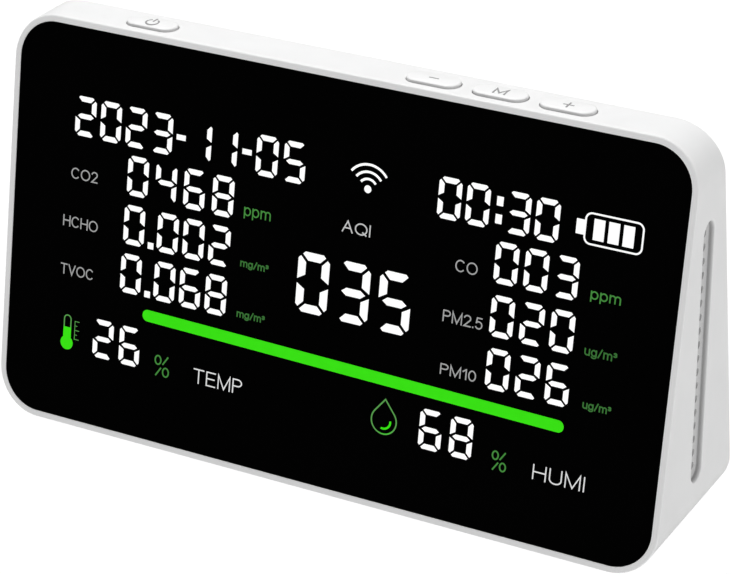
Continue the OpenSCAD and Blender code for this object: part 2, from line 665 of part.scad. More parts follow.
// USB-C receptacle: an oval shell with a tongue down its middle, open to the back
usb_wall = 0.3;
usb_tongue = [6.6, 0.7, usb_len - 1];
module usb_socket() color("silver") translate([charge_x, usb_mouth, usb_z]) rotate([90, 0, 0]) {
  difference() {
    linear_extrude(usb_len) stadium(usb_w, usb_h);
    translate([0, 0, -1]) linear_extrude(usb_len) stadium(usb_w - 2 * usb_wall, usb_h - 2 * usb_wall);
  }
  block([-usb_tongue[0] / 2, -usb_tongue[1] / 2, 0.6], usb_tongue);
}
module battery_cell() color("royalblue")
  translate([cell_x - cell_len / 2, cell_y, cell_z]) rotate([0, 90, 0]) {
    cylinder(d = cell_d, h = cell_len - cell_tip);
    cylinder(r = 3, h = cell_len);
  }
contact_x = holder[0] / 2 - 1.6;       // inner faces of the holder's end walls
module battery_holder() color("dimgray") difference() {
  block([cell_x - holder[0] / 2, cell_y - holder[1] / 2, floor_z], holder);
  translate([cell_x - contact_x, cell_y, cell_z]) rotate([0, 90, 0])
    cylinder(r = cell_d / 2 + cell_gap, h = 2 * contact_x);
}
// Spring contacts at the two ends, each with a tab that stands up above the holder
module battery_contacts() color("gold") for (side = [-1, 1])
  translate([cell_x + side * contact_x, cell_y, cell_z - 3]) mirror([side > 0 ? 1 : 0, 0, 0]) {
    translate([0, -4, -4]) cube([0.3, 8, 12.5]);
    translate([0, 0, 1]) rotate([0, 90, 0]) cylinder(r1 = 2.4, r2 = 1.2, h = contact_x - cell_len / 2);
  }
// Two leads from the contact tabs to the charging board, one of them along the top of the cell
lead_r = 0.6;
module battery_leads() color("red") {
  near_x = cell_x + contact_x;
  tab_z = cell_z + 4.6;
  over_z = cell_z + cell_d / 2 + 1.3;
  board_z = charge_z + charge_size[2] + 0.8;
  wire([[near_x + 1, cell_y + 2.4, tab_z], [near_x + 4.6, cell_y + 2, tab_z - 1],
    [charge_x - 5.6, 4.6, 11], [charge_x - 5, 3.4, board_z]], lead_r);
  wire([[cell_x - contact_x - 1, cell_y - 1, tab_z], [cell_x - contact_x - 1, cell_y - 1, over_z],
    [near_x, cell_y - 1, over_z], [near_x + 4, cell_y - 2, over_z - 3], [charge_x - 1.6, 4, 12],
    [charge_x - 1.6, 4, board_z]], lead_r);
}

// ---- Dust sensor ---------------------------------------------------------------------------

pm_mid = [pm_lo[0] + pm_size[0] / 2, pm_lo[1] + pm_size[1] / 2];
module dust_case() color("lightsteelblue") on_back(pm_z) {
  difference() {
    block([pm_lo[0], pm_lo[1], 0], [pm_size[0], pm_size[1], pm_t - pm_wall]);
    block([pm_lo[0] + pm_wall, pm_lo[1] + pm_wall, pm_wall],
      [pm_size[0] - 2 * pm_wall, pm_size[1] - 2 * pm_wall, pm_t]);
    translate([fan_at[0], fan_at[1], -1]) cylinder(r = fan_r - 1, h = pm_wall + 2);
    for (y = [4, 8, 12]) translate([laser_at[0], pm_lo[1] + y, -1])
      linear_extrude(pm_wall + 2) stadium(9, 1.6);
  }
  translate([fan_at[0], fan_at[1], 0]) {
    cylinder(r = fan_pin_r, h = 9);
    cylinder(r = 2.6, h = pm_wall);
    for (a = [30, 150, 270]) rotate(a) translate([0, -0.7, 0]) cube([fan_r, 1.4, pm_wall]);
  }
}
module dust_lid() color("silver") on_back(pm_z + pm_t - pm_wall)
  block([pm_lo[0], pm_lo[1], 0], [pm_size[0], pm_size[1], pm_wall]);
fan_hub_r = 4;
fan_hub_h = 6;
fan_blade = [4.9, 0.6, 5.4];
module dust_fan() color("dimgray") on_back(pm_z + pm_wall + 0.5) translate([fan_at[0], fan_at[1], 0])
  difference() {
    union() {
      cylinder(r = fan_hub_r, h = fan_hub_h);
      for (a = [0 : 40 : 320]) rotate(a) translate([fan_hub_r - 0.4, 0, 0]) rotate(25)
        translate([0, -fan_blade[1] / 2, 0]) cube(fan_blade);
    }
    translate([0, 0, -1]) cylinder(r = fan_bore_r, h = fan_hub_h + 2);
  }
module dust_board() color("darkgreen") on_back(pm_z + pm_t - pm_wall - 1.2)
  block([pm_lo[0] + pm_wall + 0.3, pm_lo[1] + pm_wall + 0.3, 0],
    [pm_size[0] - 2 * pm_wall - 0.6, pm_size[1] - 2 * pm_wall - 0.6, 1]);
module dust_laser() color("goldenrod") on_back(pm_z + pm_wall + 0.4) {
  block([laser_at[0] - 6, laser_at[1] + 8, 0], [12, 6, 6.5]);
  translate([laser_at[0], laser_at[1] + 8, 3.2]) rotate([90, 0, 0]) cylinder(r = 2, h = 7);
}
module dust_seal() color("black") on_back(cover_t) linear_extrude(pm_z - cover_t) difference() {
  translate(pm_mid) square(pm_size - [1, 1], center = true);
  translate(pm_mid) square(pm_size - [5, 5], center = true);
}
// Four cores from the dust sensor to the lower plug on the main board
module dust_cable() color("white") for (i = [0 : 3]) {
  x = pm_lo[0] - 1.2 - 1.1 * i;
  out = at_back(30 - 1.3 * i, 11);
  plug = at_back(41.9 - 1.3 * i, 9.6);
  wire([concat(pm_lo[0] - 0.5, out), concat(x, out), concat(x, plug), concat(15.1, plug)], 0.4);
}
mesh_t = 0.4;
module slot_mesh(side) translate([side * (case_w - 2 * side_wall - mesh_t) / 2, 0, 0])
  along_x(mesh_t) slot_outline(slot_w + 1.4, slot_len - 1);
module slot_mesh_left() color("gray") slot_mesh(-1);
module slot_mesh_right() color("gray") slot_mesh(1);

housing();
rear_cover();
rear_screws();
rubber_feet();
front_lens();
lens_tape();
digit_windows();
level_bar_window();
white_icon_windows();
green_icon_windows();
light_box();
display_board();
display_leds();
display_ribbon();
ribbon_sockets();
key_power();
key_minus();
key_mode();
key_plus();
key_board();
tact_switches();
stem_power();
stem_minus();
stem_mode();
stem_plus();
key_ribbon();
board_screws();
main_board();
main_chips();
main_connectors();
controller_module();
sounder();
co2_sensor();
co_sensor();
hcho_sensor();
tvoc_sensor();
climate_board();
climate_sensor();
charge_board();
usb_socket();
battery_cell();
battery_holder();
battery_contacts();
battery_leads();
dust_case();
dust_lid();
dust_fan();
dust_laser();
dust_board();
dust_seal();
dust_cable();
slot_mesh_left();
slot_mesh_right();
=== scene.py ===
import math

import bmesh
import bpy
from mathutils import Matrix, Vector


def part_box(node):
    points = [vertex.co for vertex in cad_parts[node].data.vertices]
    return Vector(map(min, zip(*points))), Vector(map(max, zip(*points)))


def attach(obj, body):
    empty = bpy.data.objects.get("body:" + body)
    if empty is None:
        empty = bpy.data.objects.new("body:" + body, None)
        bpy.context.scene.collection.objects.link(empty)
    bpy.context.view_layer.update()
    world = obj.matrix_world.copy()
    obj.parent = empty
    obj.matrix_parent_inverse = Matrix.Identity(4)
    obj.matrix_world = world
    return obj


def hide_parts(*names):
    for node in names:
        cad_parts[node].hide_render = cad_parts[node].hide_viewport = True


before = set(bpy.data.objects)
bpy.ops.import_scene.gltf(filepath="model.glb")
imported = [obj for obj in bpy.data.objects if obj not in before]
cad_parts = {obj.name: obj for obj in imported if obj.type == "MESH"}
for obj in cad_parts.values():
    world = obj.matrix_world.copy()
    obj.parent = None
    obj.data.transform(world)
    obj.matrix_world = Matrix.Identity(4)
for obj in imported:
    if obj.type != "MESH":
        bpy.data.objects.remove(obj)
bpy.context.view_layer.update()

# Looks of a desktop air quality monitor. Shapes are worked out in millimetres, in the frame's own axes:
# +X is the viewer's right, +Y goes to the back, +Z is up. place() turns a finished mesh into metres.

MM = 0.001
UP = Vector((0, 0, 1))
TO_BACK = Vector((0, 1, 0))


def node_box(node):
    """Lowest and highest corner of a CAD node, in millimetres."""
    low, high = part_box(node)
    return low / MM, high / MM


# ---- Driving dimensions ------------------------------------------------------------------------

case_low, case_high = node_box("housing")
CASE_W = case_high.x - case_low.x
CASE_D = case_high.y - case_low.y
BASE, TOP = case_low.z, case_high.z
CASE_H = TOP - BASE
MID_Z = (BASE + TOP) / 2
TOP_D = 10                     # depth of the flat top
FRONT_RUN = 16.7               # how far the front leans back over its height
CORNER_R = 10                  # corners of the case, seen from the front
LEAN = math.atan(FRONT_RUN / CASE_H)
BACK_LEAN = math.atan((CASE_D - TOP_D - FRONT_RUN) / CASE_H)
FRONT_LEN = CASE_H / math.cos(LEAN)
FRONT_OUT = Vector((0, -math.cos(LEAN), math.sin(LEAN)))
BACK_OUT = Vector((0, math.cos(BACK_LEAN), math.sin(BACK_LEAN)))

WALL, SIDE_WALL, FRONT_WALL = 2.2, 2.4, 2.75
EDGE_R = 0.35                  # rounding of the case's front and back edges
LENS_GAP = 0.05
lens_low, lens_high = node_box("front_lens")
RIM = (CASE_W - (lens_high.x - lens_low.x)) / 2 - LENS_GAP
LENS_R = 8.5
LENS_RECESS = 1.35
LENS_DROP = 0.1
WINDOW = (141, 64)             # opening behind the lens, and its centre up the slope
WINDOW_S = 44
COVER_T = 2
COVER_RIM = 1.5
FIT_GAP = 0.1

KEYS = ("power", "minus", "mode", "plus")
KEY_W, KEY_D = 11.6, 5
KEY_GAP = 0.18
KEY_R = 0.4                    # rounding of a key's top edge
KEY_TOP = node_box("key_power")[1].z
FLANGE_T, FLANGE_OUT = 1, 1.2
POST_D = 3.2
MARK_AT = (0.15, -0.25, 0)     # a key mark's middle, from the key's

SLOT_W, SLOT_LEN, SLOT_DEEP = 5.3, 56.5, 1.2
SLOT_LIP = 0.35                # rounding of the slot's rim
SLOT_HOLES, SLOT_HOLE_D = 18, 1.6
SLOT_HOLE_Y = 0.5              # how far the holes lie behind the slot's middle line
SLOT_PITCH = (SLOT_LEN - 5.8) / (SLOT_HOLES - 1)
SLOT_Z = BASE + 41.15
SLOT_LEAN = (LEAN - BACK_LEAN) / 2

REAR_SCREWS = [(x, t) for x in (-71, 71) for t in (9.4, 81)]    # x, and how far up the back slope
SCREW_R = 1.1
SCREW_RECESS_R = 2.6
REAR_POST_R, REAR_POST_LEN = 3, 38
REAR_BORE_R, REAR_BORE_DEEP = 1.15, 7.5
DISPLAY_SCREWS = [(x, s) for x in (-72.7, 72.7) for s in (17, 74)]
DISPLAY_DEPTH = 6.4            # front of the display board, in from the front face
MAIN_SCREWS = [(x, t) for x in (-62.5, 14.5) for t in (29.5, 59.5)]
MAIN_DEPTH = 6.4               # main board, in from the back face
KEY_BOARD_TOP = node_box("key_board")[1].z
KEY_SCREWS = [(x, node_box("key_board")[0].y + 3.2) for x in (-62, 0, 61)]
CHARGE_SCREWS = [(7.6, 6.5), (16.4, 6.5)]
CHARGE_Z = node_box("charge_board")[0].z
M2_HOLE_R, M2_BORE_DEEP = 0.9, 3.2
DISPLAY_POST_R, KEY_POST_R, CHARGE_POST_R = 2.1, 2.2, 1.9
PIN_R, PIN_LEN = 1.1, 3        # the climate board's two pins, which have no bore
PIN_AT = [(73, 7.6, z) for z in (41, 50)]
SUNK = 0.5                     # how far a post runs on into the wall that it stands on
socket_low, socket_high = node_box("usb_socket")
USB_X, USB_Z = (socket_low.x + socket_high.x) / 2, (socket_low.z + socket_high.z) / 2
USB_W, USB_H = socket_high.x - socket_low.x, socket_high.z - socket_low.z
USB_MOUTH = socket_high.y
feet_low, feet_high = node_box("rubber_feet")
FOOT_R = 4
FOOT_AT = [(x, y) for x in (feet_low.x + FOOT_R, feet_high.x - FOOT_R)
           for y in (feet_low.y + FOOT_R, feet_high.y - FOOT_R)]
dust_low, dust_high = node_box("dust_case")
DUST_X = (dust_low.x, dust_high.x)
DUST_T = (4.8, 39.8)
SOUNDER = (-6, 45)


# ---- The case's faces --------------------------------------------------------------------------

def front_y(z, depth=0):
    """Y of the front face at height z, or of the surface that lies depth behind it."""
    return -CASE_D / 2 + (z - BASE) * math.tan(LEAN) + depth / math.cos(LEAN)


def back_y(z, depth=0):
    return CASE_D / 2 - (z - BASE) * math.tan(BACK_LEAN) - depth / math.cos(BACK_LEAN)


def on_front(x, s, depth=0):
    """The point at x, s up the front slope and depth in from the face."""
    foot = Vector((x, -CASE_D / 2, BASE))
    return foot + s * Vector((0, math.sin(LEAN), math.cos(LEAN))) - depth * FRONT_OUT


def on_back(x, t, depth=0):
    foot = Vector((x, CASE_D / 2, BASE))
    return foot + t * Vector((0, -math.sin(BACK_LEAN), math.cos(BACK_LEAN))) - depth * BACK_OUT


def facing(origin, normal, up=UP):
    """A frame at origin: +Z along normal, +Y as near to up as it can be."""
    z = normal.normalized()
    x = up.cross(z).normalized()
    matrix = Matrix((x, z.cross(x), z)).transposed().to_4x4()
    matrix.translation = origin
    return matrix


# ---- Solids as (points, faces) -----------------------------------------------------------------

STEPS = 20                     # steps round a quarter circle on the case's corners
FINE = 8                       # and on small round shapes
TINY = 1e-6


def outline(w, h, r, steps):
    """Points round a rectangle with rounded corners. A circle or a stadium has no straight stretch left."""
    points = []
    for quarter, (side, level) in enumerate(((1, 1), (-1, 1), (-1, -1), (1, -1))):
        for i in range(steps + 1):
            a = math.pi / 2 * (quarter + i / steps)
            p = (side * (w / 2 - r) + r * math.cos(a), level * (h / 2 - r) + r * math.sin(a))
            if not points or math.dist(p, points[-1]) > TINY:
                points.append(p)
    if math.dist(points[0], points[-1]) < TINY:
        points.pop()
    return points


def rounding(r, steps=5):
    """(in from the edge, down from the face) round a convex edge of radius r, from the face to the side."""
    angles = [math.pi / 2 * i / steps for i in range(steps + 1)]
    return [(r * (1 - math.sin(a)), r * (1 - math.cos(a))) for a in angles]


def loft(rings, closed=False):
    """Joins rings of equally many points, capped at both ends or closed on itself."""
    n, count = len(rings[0]), len(rings)
    faces = []
    for k in range(count if closed else count - 1):
        a, b = k * n, (k + 1) % count * n
        faces += [(a + i, a + (i + 1) % n, b + (i + 1) % n, b + i) for i in range(n)]
    if not closed:
        faces += [tuple(reversed(range(n))), tuple(range((count - 1) * n, count * n))]
    return [Vector(p) for ring in rings for p in ring], faces


def solid(frame_at, w, h, levels, r=None, steps=FINE):
    """A w by h outline raised along the frame's +Z. levels holds (how far it grows, height)."""
    r = min(w, h) / 2 if r is None else r
    rings = [[frame_at @ Vector((x, y, z)) for x, y in outline(w + 2 * g, h + 2 * g, r + g, steps)]
             for g, z in levels]
    return loft(rings)


def rod(frame_at, r, low, high, edge=0.0):
    """A round rod with both its ends chamfered by edge."""
    levels = [(0, low), (0, high)]
    if edge:
        levels = [(-edge, low), (0, low + edge), (0, high - edge), (-edge, high)]
    return solid(frame_at, 2 * r, 2 * r, levels)


def pit(frame_at, w, h, deep, lip=0.2, bottom=0.0, steps=FINE, above=1):
    """A cutter for a recess with a rounded lip and a rounded floor edge. +Z is out of the face."""
    levels = [(lip, above)] + [(g, -z) for g, z in rounding(lip)]
    if bottom:
        levels += [(-bottom + g, z - deep) for g, z in
                   [(bottom - a, b) for a, b in reversed(rounding(bottom))]]
    else:
        levels.append((0, -deep))
    return solid(frame_at, w, h, levels, steps=steps)


def round_pit(frame_at, r, deep, lip, steps=FINE, above=1):
    return pit(frame_at, 2 * r, 2 * r, deep, lip, steps=steps, above=above)


def stroke(frame_at, points, width, low, high):
    """A flat bar along points in the frame's XY plane, from low to high. Equal end points close it."""
    points = [Vector(p) for p in points]
    closed = (points[0] - points[-1]).length < TINY
    if closed:
        points.pop()
    else:
        for end, inner in ((0, 1), (-1, -2)):
            points[end] = points[end] + (points[end] - points[inner]).normalized() * width / 2
    count = len(points)
    rings = []
    for i, p in enumerate(points):
        before = points[(i - 1) % count] if closed or i > 0 else p
        after = points[(i + 1) % count] if closed or i < count - 1 else p
        first, second = p - before, after - p
        if first.length < TINY:
            first = second
        elif second.length < TINY:
            second = first
        first.normalize()
        along = (first + second.normalized()).normalized()
        out = Vector((-along.y, along.x)) * width / 2 / max(along.dot(first), 0.3)
        left, right = p + out, p - out
        rings.append([frame_at @ Vector((q.x, q.y, z))
                      for q, z in ((left, high), (right, high), (right, low), (left, low))])
    return loft(rings, closed)


def arc(cx, cy, rx, ry, start=0, end=360, steps=24):
    """Points along an ellipse between two angles in degrees, anticlockwise from +X."""
    angles = [math.radians(start + (end - start) * i / steps) for i in range(steps + 1)]
    return [(cx + rx * math.cos(a), cy + ry * math.sin(a)) for a in angles]


# ---- Meshes ------------------------------------------------------------------------------------

def make(name, *solids):
    """A new object from solids that don't touch, still in millimetres."""
    points, faces = [], []
    for p, f in solids:
        faces += [tuple(i + len(points) for i in face) for face in f]
        points += p
    mesh = bpy.data.meshes.new(name)
    mesh.from_pydata(points, [], faces)
    work = bmesh.new()
    work.from_mesh(mesh)
    bmesh.ops.recalc_face_normals(work, faces=work.faces)
    work.to_mesh(mesh)
    work.free()
    obj = bpy.data.objects.new(name, mesh)
    bpy.context.scene.collection.objects.link(obj)
    return obj


def combine(obj, operation, *solids):
    """Cuts solids from obj, or joins them to it. They don't touch each other."""
    tool = make("tool", *solids)
    boolean = obj.modifiers.new("combine", "BOOLEAN")
    boolean.operation = operation
    boolean.solver = "MANIFOLD"
    boolean.object = tool
    bpy.context.view_layer.update()
    evaluated = obj.evaluated_get(bpy.context.evaluated_depsgraph_get())
    result = bpy.data.meshes.new_from_object(evaluated)
    obj.modifiers.clear()
    obj.data = result
    bpy.data.objects.remove(tool)


SMOOTH_UP_TO = math.radians(38)    # edges sharper than this stay sharp


def place(obj, material, slot, replaced=(), body="case"):
    """Finishes a piece: metres, smooth shading, its material and body. Its slot is not used."""
    obj.data.transform(Matrix.Scale(MM, 4))
    obj.data.shade_smooth()
    obj.data.set_sharp_from_angle(angle=SMOOTH_UP_TO)
    weighted = obj.modifiers.new("weighted_normals", "WEIGHTED_NORMAL")
    weighted.keep_sharp = True
    obj.data.materials.clear()
    obj.data.materials.append(material)
    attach(obj, body)
    if replaced:
        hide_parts(*replaced)


# ---- Materials ---------------------------------------------------------------------------------

def feed(owner, made, inputs):
    """Sets a node's inputs, by name or number: to a value, or linked to another node's output."""
    for key, value in inputs.items():
        socket = made.inputs[key.replace("_", " ") if isinstance(key, str) else key]
        if isinstance(value, bpy.types.NodeSocket):
            owner.node_tree.links.new(value, socket)
        else:
            socket.default_value = value


def node(owner, kind, settings=None, **inputs):
    """Adds a node to a material or to the world."""
    made = owner.node_tree.nodes.new("ShaderNode" + kind)
    for key, value in (settings or {}).items():
        setattr(made, key, value)
    feed(owner, made, inputs)
    return made


def shader(name):
    """A new material, which has one Principled shader."""
    material = bpy.data.materials.new(name)
    material.use_nodes = True
    return material


def surface(material, **inputs):
    """Feeds the material's Principled shader."""
    feed(material, material.node_tree.nodes["Principled BSDF"], inputs)
    return material


def maths(material, operation, *values):
    """The result of one Math node."""
    made = node(material, "Math", {"operation": operation})
    feed(material, made, dict(enumerate(values)))
    return made.outputs[0]


def vector_maths(material, operation, *values):
    """The result of one Vector Math node. A length is a number, and anything else a vector."""
    made = node(material, "VectorMath", {"operation": operation})
    feed(material, made, dict(enumerate(values)))
    return made.outputs["Value" if operation == "LENGTH" else "Vector"]


def place_of(material, stretch=(1, 1, 1)):
    """The piece's own coordinates in millimetres, stretched."""
    coordinates = node(material, "TexCoord")
    scaled = node(material, "Mapping", Vector=coordinates.outputs["Object"],
                  Scale=[s / MM for s in stretch])
    return scaled.outputs["Vector"]


def noise(material, size, detail=2.0, stretch=(1, 1, 1)):
    """Noise with features about size millimetres across."""
    return node(material, "TexNoise", Vector=place_of(material, stretch), Scale=1 / size,
                Detail=detail).outputs["Fac"]


def ramp(owner, value, low, high, start=0.3, end=0.7):
    """Maps value from start..end to low..high, which are numbers or colours."""
    if isinstance(low, (int, float)):
        return node(owner, "MapRange", Value=value, From_Min=start, From_Max=end,
                    To_Min=low, To_Max=high).outputs["Result"]
    made = node(owner, "ValToRGB", Fac=value)
    for element, position, colour in zip(made.color_ramp.elements, (start, end), (low, high)):
        element.position = position
        element.color = (*colour, 1)
    return made.outputs["Color"]


def relief(material, height, deep, strength=1.0):
    """The normal of a height map that is deep millimetres from low to high."""
    return node(material, "Bump", Strength=strength, Distance=deep * MM, Height=height).outputs["Normal"]


def grey(value):
    return (value, value, value)


def tone(colour, change):
    return tuple(min(c * (1 + change), 1) for c in colour)


def moulded(name, colour, spread=0.02, rough=(0.36, 0.46), patch=9.0, grain=0.28, bump=0.004, **others):
    """Moulded plastic or rubber: faint patches of tone, uneven gloss and a fine grain."""
    material = shader(name)
    shades = (tone(colour, -spread), tone(colour, spread))
    return surface(material, **others,
                   Base_Color=ramp(material, noise(material, patch, 3.0), *shades),
                   Roughness=ramp(material, noise(material, patch / 3, 4.0), *rough),
                   Normal=relief(material, noise(material, grain), bump))


def painted_slot_shade(name, outer, inner):
    """Painted shade: plastic whose colour darkens from the case's side into an air slot, where shade falls.
    """
    material = shader(name)
    x = node(material, "SeparateXYZ", Vector=place_of(material)).outputs["X"]
    depth = ramp(material, maths(material, "ABSOLUTE", x), 0.0, 1.0, CASE_W / 2, CASE_W / 2 - SLOT_DEEP)
    return surface(material, Base_Color=ramp(material, depth, outer, inner, 0.05, 0.75),
                   Roughness=ramp(material, noise(material, 2), 0.5, 0.6))


def metal(name, colour, rough, stretch, size=2.0):
    """Drawn or brushed metal: long fine streaks in tone, gloss and height."""
    material = shader(name)
    streaks = noise(material, size, 4.0, stretch)
    return surface(material, Metallic=1.0,
                   Base_Color=ramp(material, streaks, tone(colour, -0.1), tone(colour, 0.08)),
                   Roughness=ramp(material, streaks, *rough),
                   Normal=relief(material, streaks, 0.003, 0.8))


def glowing(name, colour, spread=0.03):
    """A lit window: light from behind, a little uneven from place to place, on a nearly black body."""
    material = shader(name)
    patches = noise(material, 2.5)
    return surface(material, Roughness=0.35, Emission_Strength=1.0,
                   Base_Color=ramp(material, patches, tone(colour, -0.96), tone(colour, -0.94)),
                   Emission_Color=ramp(material, patches, tone(colour, -spread), tone(colour, 0)))


def hot_spots(name, colour, dim, spots):
    """A lit window, bright near its two lights and dim further off. spots: centre, reach along each axis."""
    material = shader(name)
    distances = []
    for centre, reach in spots:
        away = vector_maths(material, "SUBTRACT", place_of(material), centre)
        distances.append(vector_maths(material, "LENGTH", vector_maths(material, "DIVIDE", away, reach)))
    nearest = maths(material, "MINIMUM", *distances)
    return surface(material, Roughness=0.35, Emission_Strength=1.0, Base_Color=(*tone(colour, -0.95), 1),
                   Emission_Color=ramp(material, nearest, colour, dim, 0.8, 1.0))


def circuit(name):
    """Solder mask over copper: bundles of straight traces, gold pads and a slight sheen."""
    material = shader(name)
    trace_pitch, gold = 0.9, (0.72, 0.5, 0.16, 1)
    bare, over_copper = (0.005, 0.05, 0.02), (0.014, 0.1, 0.042)
    split = node(material, "SeparateXYZ", Vector=place_of(material)).outputs
    level = maths(material, "ADD", split["Y"], split["Z"])
    across, along = (maths(material, "SINE", maths(material, "MULTIPLY", way, 2 * math.pi / trace_pitch))
                     for way in (split["X"], level))
    turn = ramp(material, noise(material, 9, 0.0), 0.0, 1.0, 0.49, 0.5)
    wave = node(material, "Mix", {"data_type": "FLOAT"}, Factor=turn, A=across, B=along).outputs["Result"]
    routed = ramp(material, noise(material, 5, 1.0), 0.0, 1.0, 0.5, 0.51)
    trace = maths(material, "MULTIPLY", ramp(material, wave, 0.0, 1.0, 0.1, 0.4), routed)
    pads = node(material, "TexVoronoi", {"distance": "CHEBYCHEV"}, Vector=place_of(material), Scale=0.5,
                Randomness=0.35)
    is_pad = ramp(material, pads.outputs["Distance"], 1.0, 0.0, 0.10, 0.13)
    mix = node(material, "Mix", {"data_type": "RGBA"}, Factor=is_pad)
    feed(material, mix, {6: ramp(material, trace, bare, over_copper, 0.0, 1.0), 7: gold})    # its two colours
    return surface(material, Base_Color=mix.outputs[2], Metallic=is_pad,
                   Roughness=ramp(material, noise(material, 5), 0.22, 0.38),
                   Normal=relief(material, trace, 0.02, 0.7))


def stripes(material, way, size):
    """A wave along one axis with bands size millimetres wide."""
    return node(material, "TexWave", {"bands_direction": way}, Vector=place_of(material),
                Scale=math.pi / 10 / size).outputs["Fac"]


def banded(name, first, second, size, rough=0.45, bump=0.02):
    """Stripes across the case's width, as on a flat cable or a ribbed wrap."""
    material = shader(name)
    wave = stripes(material, "X", size)
    return surface(material, Base_Color=ramp(material, wave, first, second, 0.4, 0.6),
                   Roughness=ramp(material, noise(material, 3), rough - 0.06, rough + 0.06),
                   Normal=relief(material, wave, bump))


def woven(name, colour):
    """A fine wire gauze, as a weave of two crossing waves."""
    material = shader(name)
    crossed = maths(material, "MAXIMUM", *(stripes(material, way, 0.45) for way in "YZ"))
    return surface(material, Metallic=0.8, Base_Color=ramp(material, crossed, grey(0.01), colour, 0.55, 0.85),
                   Roughness=ramp(material, noise(material, 2), 0.35, 0.5),
                   Normal=relief(material, crossed, 0.1))


def glossy_lens():
    """Black acrylic: deep black, glossy, with the faintest unevenness in its polish."""
    material = shader("black_acrylic")
    return surface(material, IOR=1.49, Specular_IOR_Level=0.5,
                   Base_Color=ramp(material, noise(material, 30), grey(0.0002), grey(0.0004)),
                   Roughness=ramp(material, noise(material, 4, 3.0), 0.05, 0.09),
                   Normal=relief(material, noise(material, 18, 1.0), 0.002, 0.3))


GREEN = (0.036, 0.723, 0.0033)
white_abs = moulded("white_abs", grey(0.86), 0.012, (0.4, 0.5))
# painted shade: darker greys for the air slots' floor and the hole bores under it
slot_floor_painted_shade = moulded("slot_floor_painted_shade", grey(0.6), 0.02, (0.5, 0.6))
slot_hole_painted_shade = moulded("slot_hole_painted_shade", grey(0.68), 0.02, (0.5, 0.6))
# painted shade: the slot walls darken with depth into the slot
slot_wall_painted_shade = painted_slot_shade("slot_wall_painted_shade", grey(0.86), grey(0.41))
# painted shade: a darker grey for the keys' side walls
key_side_painted_shade = moulded("key_side_painted_shade", grey(0.68), 0.02, (0.4, 0.5))
key_abs = moulded("white_abs_keys", grey(0.9), 0.012, (0.34, 0.44), grain=0.2)
black_acrylic = glossy_lens()
lit_white = glowing("lit_white", grey(1.0))
lit_green = glowing("lit_green", GREEN)
icon_green = hot_spots("icon_green", GREEN, (0.09, 0.3, 0.07),
                       [(on_front(-60.9, 19.4), (2, 3.2, 3.2)), (on_front(16.2, 18.3), (2.3, 2.1, 2.1))])
label_white = glowing("label_white", grey(0.36), 0.1)
label_fair = glowing("label_fair", grey(0.55), 0.1)
label_bright = glowing("label_bright", grey(0.75), 0.1)
unit_green = glowing("unit_green", (0.055, 0.24, 0.045), 0.1)
unit_green_dim = glowing("unit_green_dim", (0.04, 0.16, 0.035), 0.1)
mark_grey = moulded("mark_ink", grey(0.3), 0.08, (0.5, 0.6), patch=1.0, grain=0.08, bump=0.002)
black_rubber = moulded("black_rubber", grey(0.016), 0.2, (0.75, 0.9), patch=3.0, grain=0.15, bump=0.02)
dark_steel = metal("blackened_steel", grey(0.09), (0.3, 0.45), (1, 1, 4))
bright_steel = metal("bright_steel", grey(0.62), (0.18, 0.3), (1, 1, 5))
shield_tin = metal("tinned_shield", (0.66, 0.66, 0.64), (0.25, 0.4), (6, 1, 1), 3.0)
gold_plate = metal("gold_plate", (0.83, 0.6, 0.25), (0.2, 0.32), (1, 1, 3), 1.0)
board_green = circuit("solder_mask")
black_plastic = moulded("black_plastic", grey(0.022), 0.15, (0.4, 0.55), patch=4.0)
ivory_plastic = moulded("ivory_plastic", (0.76, 0.71, 0.58), 0.04, (0.35, 0.45), patch=3.0)
red_plastic = moulded("red_plastic", (0.6, 0.02, 0.015), 0.08, (0.3, 0.4), patch=2.0)
reflector_white = moulded("reflector_white", grey(0.9), 0.02, (0.5, 0.65), patch=5.0)
led_body = moulded("led_phosphor", (0.85, 0.68, 0.2), 0.06, (0.3, 0.5), patch=0.6)
foam_grey = moulded("foam_tape", grey(0.12), 0.2, (0.85, 0.95), patch=1.0, grain=0.2, bump=0.05)
flat_cable = banded("flat_cable", grey(0.8), (0.55, 0.56, 0.6), 1.0)
cell_wrap = banded("cell_wrap", (0.02, 0.09, 0.32), (0.025, 0.105, 0.36), 4.0, 0.32, 0.01)
dust_shell = metal("dust_sensor_shell", (0.42, 0.5, 0.58), (0.32, 0.46), (8, 1, 1), 3.0)
lead_red = moulded("lead_insulation", (0.5, 0.015, 0.01), 0.08, (0.35, 0.5), patch=1.5)
gauze = woven("wire_gauze", grey(0.3))


# ---- Case shell --------------------------------------------------------------------------------

def case_ring(inset, surface, depth, level=None):
    """The case's outline moved in by inset (level at its top and bottom), on a sloping surface."""
    level = inset if level is None else level
    points = outline(CASE_W - 2 * inset, CASE_H - 2 * level, CORNER_R - (inset + level) / 2, STEPS)
    return [Vector((x, surface(z + MID_Z, depth), z + MID_Z)) for x, z in points]


def front_ring(w, h, r, centre, depth):
    """A rounded rectangle in the plane that lies depth behind the front face."""
    return [on_front(x, s + centre, depth) for x, s in outline(w, h, r, STEPS)]


